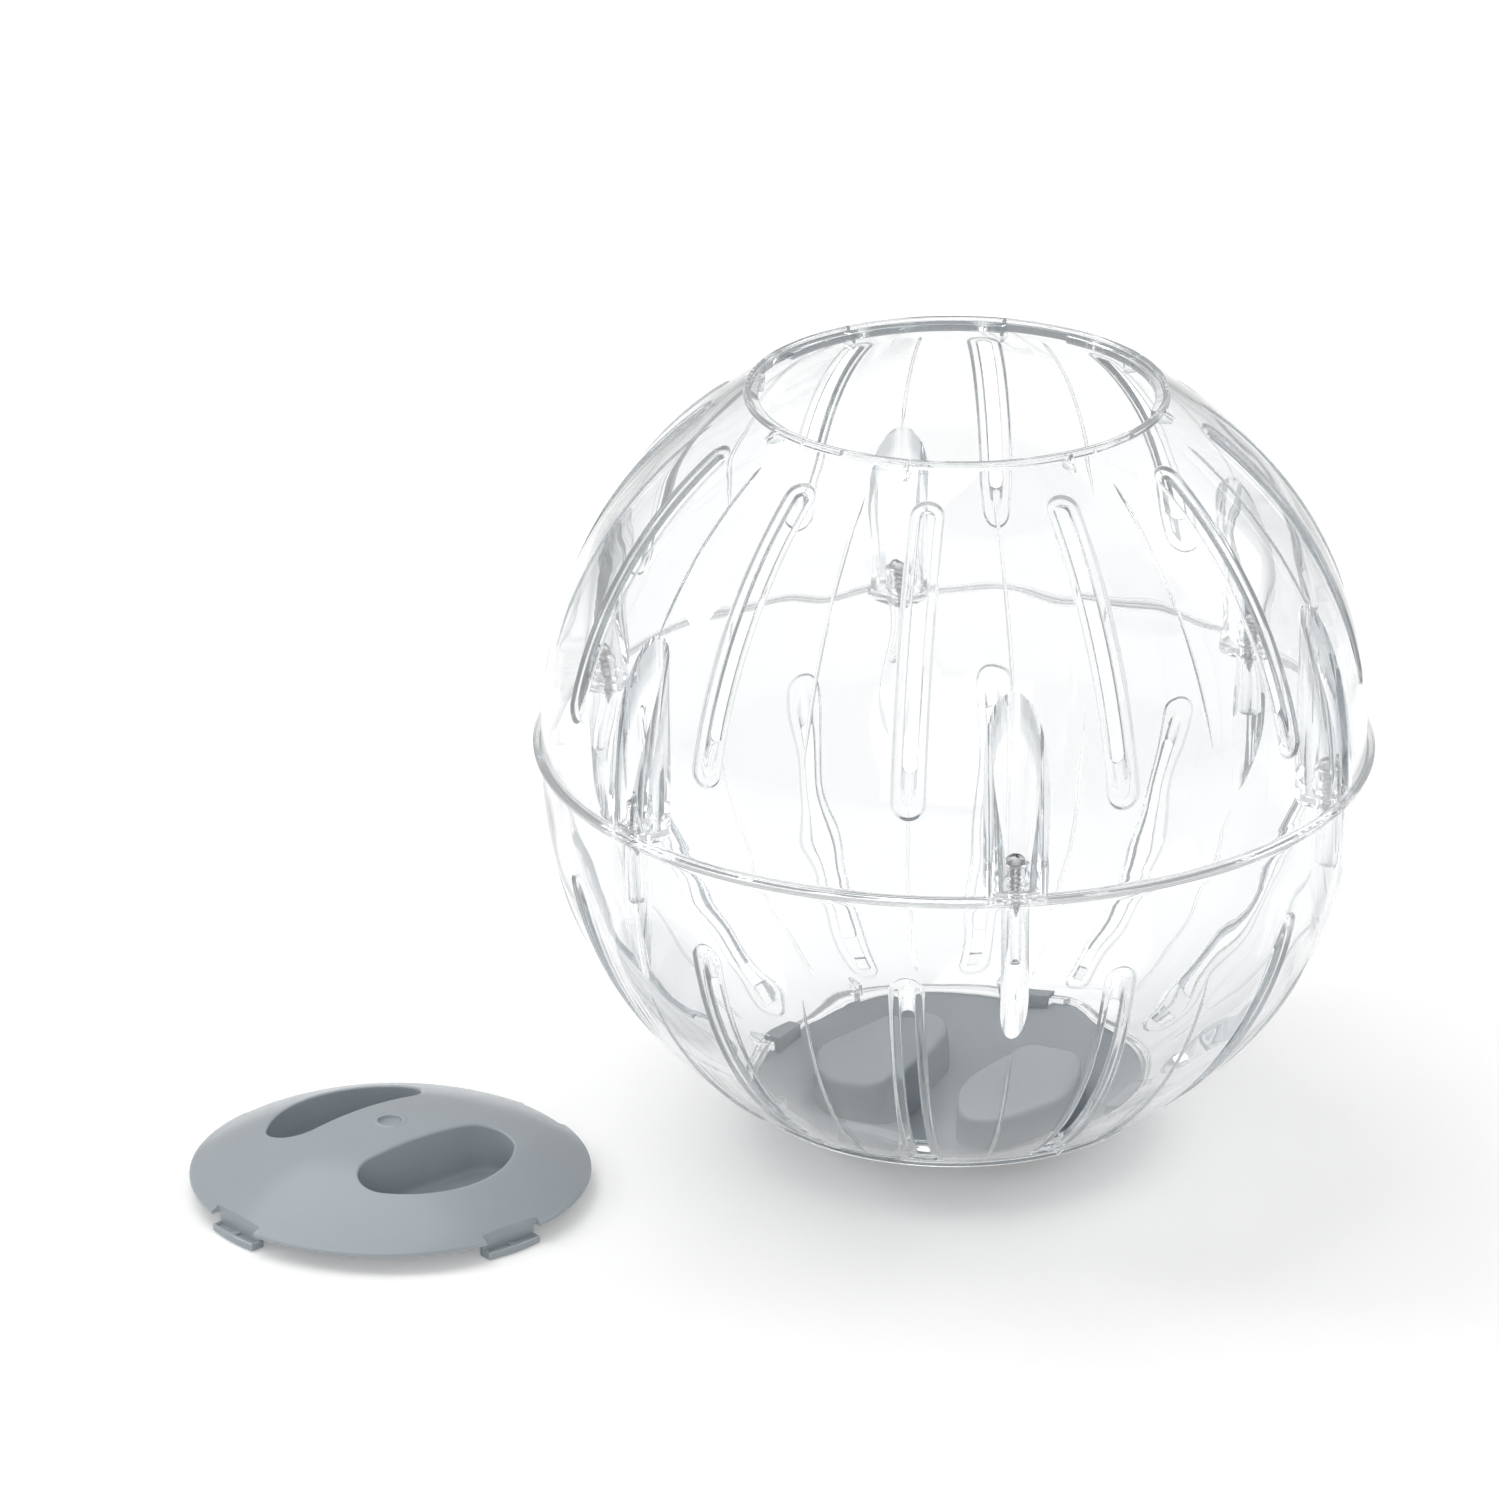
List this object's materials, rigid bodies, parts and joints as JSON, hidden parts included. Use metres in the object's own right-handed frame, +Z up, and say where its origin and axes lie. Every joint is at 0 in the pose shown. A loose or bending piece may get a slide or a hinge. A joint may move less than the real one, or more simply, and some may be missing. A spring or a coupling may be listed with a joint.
{
  "type": "hamster ball",
  "caption": "Clear running ball for hamsters, in two screwed half shells with air slots, and a grey twist-lock lid for each mouth.",
  "frame": {"origin": "on the floor under the ball's centre, where the bottom lid's dimple rim stands", "axes": "+Z up through both mouths of the ball; -Y towards the viewer, through one of the seam screws; the loose top lid lies towards -X"},
  "size_m": [0.2638, 0.185, 0.1762],
  "materials": {
    "clear_wall": "gloss",
    "grey_lid": "gloss",
    "screw_steel": "satin"
  },
  "bodies": {
    "ball": {"upper_shell": "clear_wall", "lower_shell": "clear_wall", "joint_screw_1": "screw_steel", "joint_screw_2": "screw_steel", "joint_screw_3": "screw_steel", "joint_screw_4": "screw_steel", "joint_screw_5": "screw_steel", "joint_screw_6": "screw_steel"},
    "loose_lid": {"top_lid": "grey_lid"},
    "locked_lid": {"bottom_lid": "grey_lid"}
  },
  "joints": [
    {"name": "bottom_lid_turn", "type": "hinge", "parent": "ball", "child": "locked_lid", "pos_m": [0, 0, 0], "axis": [0, 0, -1], "range_deg": [0, 24]},
    {"name": "top_lid_lift", "type": "slide", "parent": "ball", "child": "loose_lid", "axis": [0, 0, 1], "range_m": [0, 0.04]}
  ]
}
